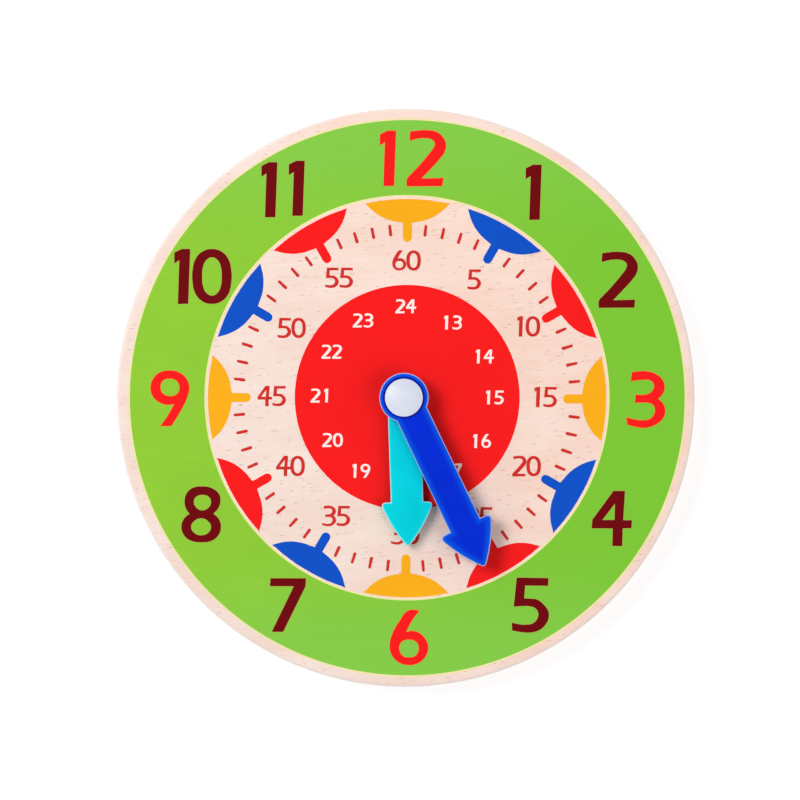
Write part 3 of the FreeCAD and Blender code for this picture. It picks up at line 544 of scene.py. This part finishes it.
def minute_ticks(start, straight, radius):
    """Forty-eight short ticks with round ends, four between each pair of domes. A tick runs
    straight outwards from its start, between two half rounds."""
    form = bmesh.new()
    for minute in range(60):
        if minute % 5 == 0:
            continue
        tick = bmesh.ops.create_circle(form, cap_ends=True, segments=12, radius=radius)["verts"]
        far = [vert for vert in tick if vert.co.y > 0]
        bmesh.ops.translate(form, verts=far, vec=(0, straight, 0))
        face = tick[0].link_faces[0]
        raised = bmesh.ops.extrude_face_region(form, geom=[face])["geom"]
        top = [part for part in raised if isinstance(part, bmesh.types.BMVert)]
        bmesh.ops.translate(form, verts=top, vec=(0, 0, INK))
        bmesh.ops.transform(form, verts=list({vert for vert in tick + top if vert.is_valid}),
                            matrix=Matrix.Translation((0, DOME_DROP, BOARD_TOP))
                            @ Matrix.Rotation(math.radians(-6 * minute - TICK_TURN), 4, "Z")
                            @ Matrix.Translation((0, start, 0)))
    return form


printed("minute_ticks", minute_ticks(start=41.02, straight=2.15, radius=0.4), TICK_RED)

# Hour numerals: digit, place across and up, and whether the ink is red. Each stands on a
# slightly wider film, which shows as a thin line where the inks overlap.
HOUR_NUMERALS = [
    ("1", -4.67, 59.84, True), ("2", 4.90, 59.84, True), ("1", 31.75, 51.29, False),
    ("2", 52.83, 29.41, False), ("3", 59.70, -0.46, True), ("4", 51.25, -30.16, False),
    ("5", 30.88, -51.79, False), ("6", 0.58, -60.01, True), ("7", -29.72, -51.89, False),
    ("8", -51.50, -29.21, False), ("9", -59.35, -0.16, True), ("1", -56.25, 30.36, False),
    ("0", -48.80, 30.36, False), ("1", -34.38, 52.04, False), ("1", -27.52, 52.39, False),
]
for red_ones, finish, halo, label in ((True, RED, ORANGE_LINE, "red_hours"),
                                      (False, MAROON, OLIVE_LINE, "dark_hours")):
    for layer, grow, layer_finish, ending in ((1, 0.09, halo, "_edge"), (2, 0.0, finish, "")):
        meshes = [flat_curve(DIGITS[digit], BOARD_TOP + layer * INK, INK,
                             at=(x, y), grow=grow)
                  for digit, x, y, red in HOUR_NUMERALS if red == red_ones]
        printed(label + ending, meshes, layer_finish)


def small_numerals(name, numbers, height, pitch, one_pitch, weight, layer, finish):
    """Print small upright numbers, centred on their places, in the shapes of the hours but
    with strokes grown by a weight. Two digits stand a pitch apart, and a one may stand closer
    to the next digit. The layer says how many films lie below."""
    meshes = []
    size = (height - 2 * weight) / DIGIT_HEIGHT
    for number, x, y in numbers:
        apart = one_pitch if number[0] == "1" else pitch
        for place, digit in enumerate(number):
            meshes.append(flat_curve(DIGITS[digit], BOARD_TOP + layer * INK, INK, size=size,
                                     at=(x + apart * (place - (len(number) - 1) / 2), y),
                                     grow=weight))
    printed(name, meshes, finish)


# Small numbers: digits, and place across and up
MINUTE_NUMBERS = [
    ("60", -0.06, 34.29), ("5", 16.88, 29.54), ("10", 29.96, 17.79), ("15", 34.26, 0.16),
    ("20", 29.96, -17.09), ("25", 17.99, -29.86), ("30", -0.42, -34.12), ("35", -17.65, -29.58),
    ("40", -29.10, -17.09), ("45", -33.74, 0.41), ("50", -28.85, 17.45), ("55", -16.93, 30.00),
]
DAY_NUMBERS = [
    ("24", -0.24, 22.85), ("13", 11.26, 18.79), ("14", 19.20, 10.29), ("15", 21.75, 0.07),
    ("16", 18.54, -10.84), ("17", 11.33, -18.13), ("18", -0.24, -22.46), ("19", -11.66, -18.30),
    ("20", -18.55, -10.59), ("21", -21.47, 0.52), ("22", -18.76, 11.49), ("23", -10.92, 19.31),
]
small_numerals("minute_numbers", MINUTE_NUMBERS, height=5.12, pitch=3.58, one_pitch=3.18,
               weight=-0.035, layer=0, finish=TICK_RED)
small_numerals("day_numbers", DAY_NUMBERS, height=3.47, pitch=2.7, one_pitch=2.7,
               weight=0.0, layer=1, finish=WHITE)


# Hands

def arc_on(form, start, end, height, steps):
    """Carry an outline from one corner to the next along an arc that bulges to the right of
    its travel by a height."""
    chord = Vector(end) - start.co.xy
    radius = chord.length ** 2 / (8 * height) + height / 2
    middle = start.co.xy + chord / 2
    left = Vector((-chord.y, chord.x)).normalized()
    centre = middle + left * (radius - height)
    angle = 2 * math.atan2(chord.length / 2, radius - height)
    swept = bmesh.ops.spin(form, geom=[start], cent=(centre.x, centre.y, start.co.z),
                           axis=(0, 0, 1), angle=angle, steps=steps)
    return next(part for part in swept["geom_last"] if isinstance(part, bmesh.types.BMVert))


def line_on(form, start, end):
    """Carry an outline straight to its next corner."""
    corner = form.verts.new((end[0], end[1], start.co.z))
    form.edges.new((start, corner))
    return corner


def arrow_hand(name, heights, angle, hub, shaft, barb, length, bulge, corners, bore):
    """A moulded arrow hand: round hub, shaft, barbs and full sides, with its upper edges
    rounded and its hub bored through. The shaft has a width at the hub and at the head, the
    barb has the distances of its neck and of its corners and its width, and the corners have
    how much is rounded off the barbs and off the tip."""
    bottom, top = heights
    neck_at, barb_at, barb_width = barb
    hub_half, neck_half = shaft[0] / 2, shaft[1] / 2
    form = bmesh.new()
    start = form.verts.new((-hub_half, math.sqrt(hub ** 2 - hub_half ** 2), bottom))
    swept = bmesh.ops.spin(form, geom=[start], cent=(0, 0, bottom), axis=(0, 0, 1),
                           angle=math.tau - 2 * math.asin(hub_half / hub), steps=72)
    right = next(part for part in swept["geom_last"] if isinstance(part, bmesh.types.BMVert))
    neck = line_on(form, right, (neck_half, neck_at))
    right_barb = line_on(form, neck, (barb_width / 2, barb_at))
    tip = arc_on(form, right_barb, (0, length), bulge, 6)
    left_barb = arc_on(form, tip, (-barb_width / 2, barb_at), bulge, 6)
    left_neck = line_on(form, left_barb, (-neck_half, neck_at))
    form.edges.new((left_neck, start))
    for points, offset in (([right_barb, left_barb], corners[0]), ([tip], corners[1])):
        bmesh.ops.bevel(form, geom=points, offset=offset, segments=6, profile=0.5,
                        affect="VERTICES", material=-1)
    floor = bmesh.ops.contextual_create(form, geom=form.edges[:])["faces"]
    raised = bmesh.ops.extrude_face_region(form, geom=floor)["geom"]
    lid = [part for part in raised if isinstance(part, bmesh.types.BMVert)]
    bmesh.ops.translate(form, verts=lid, vec=(0, 0, top - bottom))
    upper = [edge for edge in form.edges
             if all(vert.co.z > top - HEIGHT_TOLERANCE for vert in edge.verts)]
    bmesh.ops.bevel(form, geom=upper, offset=HAND_ROUND, segments=5, profile=0.5,
                    affect="EDGES", material=-1)
    bmesh.ops.rotate(form, verts=form.verts, cent=(0, 0, 0),
                     matrix=Matrix.Rotation(math.radians(-angle), 3, "Z"))
    hand = form_piece(name, form, sharp=40)
    drill = form_piece("drill", turned(bore, steps=64))
    bored = hand.modifiers.new("bored", "BOOLEAN")
    bored.operation = "DIFFERENCE"
    bored.object = drill
    mesh = bpy.data.meshes.new_from_object(
        hand.evaluated_get(bpy.context.evaluated_depsgraph_get()))
    hand.modifiers.clear()
    # The Boolean leaves some corners of the top a hair off its level
    for vert in mesh.vertices:
        if abs(vert.co.z - top * MM) < HEIGHT_TOLERANCE * MM:
            vert.co.z = top * MM
    shade_curves(mesh, 40)
    hand.data = mesh
    bpy.data.objects.remove(drill)
    return hand


hour_hand = arrow_hand(
    "turquoise_hand", HOUR_HAND_HEIGHTS, HOUR_HAND_ANGLE, hub=6.0, shaft=(8.55, 8.15),
    barb=(26.05, 26.15, 13.5), length=37.5, bulge=0.6, corners=(1.35, 0.9),
    bore=[(0, 10.5), (2.45, 10.5), (2.45, 14), (0, 14)])
keep(hour_hand, "hour_drive", HAND_TURQUOISE, "hour_hand")
# The minute hand's hub has a well for the nut and the cap's skirt, and a step round the cap
minute_hand = arrow_hand(
    "blue_hand", MINUTE_HAND_HEIGHTS, MINUTE_HAND_ANGLE, hub=6.2, shaft=(8.3, 8.3),
    barb=(35.25, 35.3, 14.6), length=47.0, bulge=0.65, corners=(1.7, 1.0),
    bore=[(0, 13.5), (1.5, 13.5), (1.5, 15.2), (4.27, 15.2), (4.27, 16), (5.05, 16),
          (5.05, 17), (0, 17)])
keep(minute_hand, "minute_drive", HAND_BLUE, "minute_hand")

# Domed cap: the rim rests in the step, and the skirt fits the well
CAP = {"radius": 4.71, "rim": 16.05, "edge": 16.8, "apex": 17.9, "well": 4.27, "skirt": 15.6,
       "inside": 3.57, "ceiling": 17.2}
CAP_RISE = CAP["apex"] - CAP["edge"]
BALL_RADIUS = (CAP["radius"] ** 2 + CAP_RISE ** 2) / (2 * CAP_RISE)
DOME_STEPS = 12
cap_radii = [CAP["radius"] * step / DOME_STEPS for step in range(DOME_STEPS, 0, -1)]
cap_dome = [(radius, CAP["apex"] - BALL_RADIUS + math.sqrt(BALL_RADIUS ** 2 - radius ** 2))
            for radius in cap_radii]
cap = turned([(CAP["inside"], CAP["skirt"]), (CAP["well"], CAP["skirt"]),
              (CAP["well"], CAP["rim"]), (CAP["radius"], CAP["rim"])] + cap_dome
             + [(0, CAP["apex"]), (0, CAP["ceiling"]), (CAP["inside"], CAP["ceiling"])],
             steps=96)
keep(form_piece("cap", cap), "minute_drive", CAP_WHITE, "centre_cap")

# Finishes of the solids; those that a piece above replaces have its finish
NYLON = moulded("nylon", colour(236, 232, 220), 0.42, 6.0)
ACETAL = moulded("acetal", colour(240, 238, 230), 0.35, 8.0)
COVER = moulded("cover_moulding", colour(226, 226, 228), 0.5, 3.0, 0.06)
PIN_PLACE = 18.0
STEEL = turned_metal("turned_steel", colour(205, 205, 208), 0.22)
PIN_STEEL = turned_metal("pin_steel", colour(205, 205, 208), 0.22, PIN_PLACE)
CLIP_STEEL = turned_metal("dark_spring_steel", colour(110, 110, 116), 0.38, PIN_PLACE)
ZINC = turned_metal("zinc_plate", colour(206, 208, 212), 0.3)
BRONZE = turned_metal("spring_bronze", colour(206, 152, 92), 0.3)
BRASS = turned_metal("drawn_brass", colour(222, 184, 112), 0.24)
FIBRE = vulcanised_fibre()
FINISHES = {
    "dial_bush": NYLON, "rear_bush": NYLON, "hand_spacer": NYLON,
    "minute_pinion": ACETAL, "intermediate_gear": ACETAL, "hour_wheel": ACETAL,
    "back_cover": COVER, "minute_arbor": STEEL, "intermediate_pin": PIN_STEEL,
    "pin_clip": CLIP_STEEL, "cover_screws": ZINC, "friction_washer": BRONZE,
    "hour_tube": BRASS, "hand_nut": BRASS, "intermediate_washers": FIBRE,
    "thrust_washer": FIBRE, "dial_board": BEECH, "hour_hand": HAND_TURQUOISE,
    "minute_hand": HAND_BLUE, "centre_cap": CAP_WHITE,
}
for node, finish in FINISHES.items():
    for material_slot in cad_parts[node].material_slots:
        material_slot.material = finish


# Floor, light and camera

def backdrop(name, lit, glow):
    """A pale surface that the camera and reflections see as white, and that keeps shadows. It
    isn't there for light from below, or for a camera below it."""
    material = bpy.data.materials.new(name)
    material.use_nodes = True
    tree = material.node_tree
    tree.nodes.clear()
    path = tree.nodes.new("ShaderNodeLightPath")
    camera_ray = Wire(tree, path.outputs["Is Camera Ray"])
    behind = camera_ray.node("ShaderNodeNewGeometry", output="Backfacing")
    seen = camera_ray
    for ray in ("Is Glossy Ray", "Is Transmission Ray"):
        seen = seen.most(Wire(tree, path.outputs[ray]))
    seen = seen * (1 - behind)
    dimmed = seen.node("ShaderNodeBsdfDiffuse", {"Color": (lit, lit, lit, 1)})
    glowing = seen.node("ShaderNodeEmission", {"Color": (1, 1, 1, 1), "Strength": glow})
    bright = seen.node("ShaderNodeAddShader", {0: dimmed, 1: glowing})
    surface = seen.node("ShaderNodeMixShader", {0: seen, 1: seen.node("ShaderNodeBsdfTransparent"),
                                                2: bright})
    output = tree.nodes.new("ShaderNodeOutputMaterial")
    tree.links.new(surface.socket, output.inputs["Surface"])
    return material


FLOOR_HALF_WIDTH = 3.0
FLOOR_DROP = -0.1 * MM
floor_form = bmesh.new()
bmesh.ops.create_grid(floor_form, x_segments=1, y_segments=1, size=FLOOR_HALF_WIDTH)
bmesh.ops.translate(floor_form, verts=floor_form.verts, vec=(0, 0, FLOOR_DROP))
floor_mesh = bpy.data.meshes.new("floor")
floor_form.to_mesh(floor_mesh)
floor_form.free()
floor_mesh.materials.append(backdrop("floor_paper", lit=0.35, glow=0.75))
place_mesh("floor", floor_mesh)

# The sky: its light at the horizon, what it loses towards the top, and its light below
SKY_LEVEL = 0.62
SKY_FALL = 0.5
SKY_BELOW = 0.75
world = bpy.data.worlds.new("studio")
scene.world = world
world.use_nodes = True
sky = world.node_tree
direction = Wire(sky, sky.nodes.new("ShaderNodeTexCoord").outputs["Generated"])
height = direction.part("Z")
overhead = height.between(-0.05, 0.05)
strength = (SKY_LEVEL - height * height * SKY_FALL) * overhead + (1 - overhead) * SKY_BELOW
sky.links.new(strength.socket, sky.nodes["Background"].inputs["Strength"])
sky.nodes["Background"].inputs["Color"].default_value = (1, 1, 1, 1)


def soft_lamp(name, place, size, power):
    """A square studio lamp that points from its place to the dial, in metres and watts."""
    data = bpy.data.lights.new(name, "AREA")
    data.shape = "SQUARE"
    data.size = size
    data.energy = power
    lamp = bpy.data.objects.new(name, data)
    lamp.location = place
    dial = Vector((0, 0, BOARD_TOP * MM))
    lamp.rotation_euler = (dial - Vector(place)).to_track_quat("-Z", "Y").to_euler()
    scene.collection.objects.link(lamp)


soft_lamp("key_lamp", (-0.75, 0.45, 1.28), size=0.7, power=13.7)
soft_lamp("fill_lamp", (0.84, -0.42, 1.27), size=1.1, power=6.5)

# The camera looks straight down, from a little to the right
CAMERA_AIM = Vector((-1.25, -0.58, BOARD_TOP)) * MM
CAMERA_TURN = math.radians(2.5)
CAMERA_DISTANCE = 1.3
camera_data = bpy.data.cameras.new("camera")
camera_data.lens = 233.3
camera_data.sensor_width = 36
camera = bpy.data.objects.new("camera", camera_data)
camera.location = CAMERA_AIM + CAMERA_DISTANCE * Vector((math.sin(CAMERA_TURN), 0,
                                                         math.cos(CAMERA_TURN)))
camera.rotation_euler = (0, CAMERA_TURN, 0)
scene.collection.objects.link(camera)
scene.camera = camera

scene.view_settings.view_transform = "Standard"
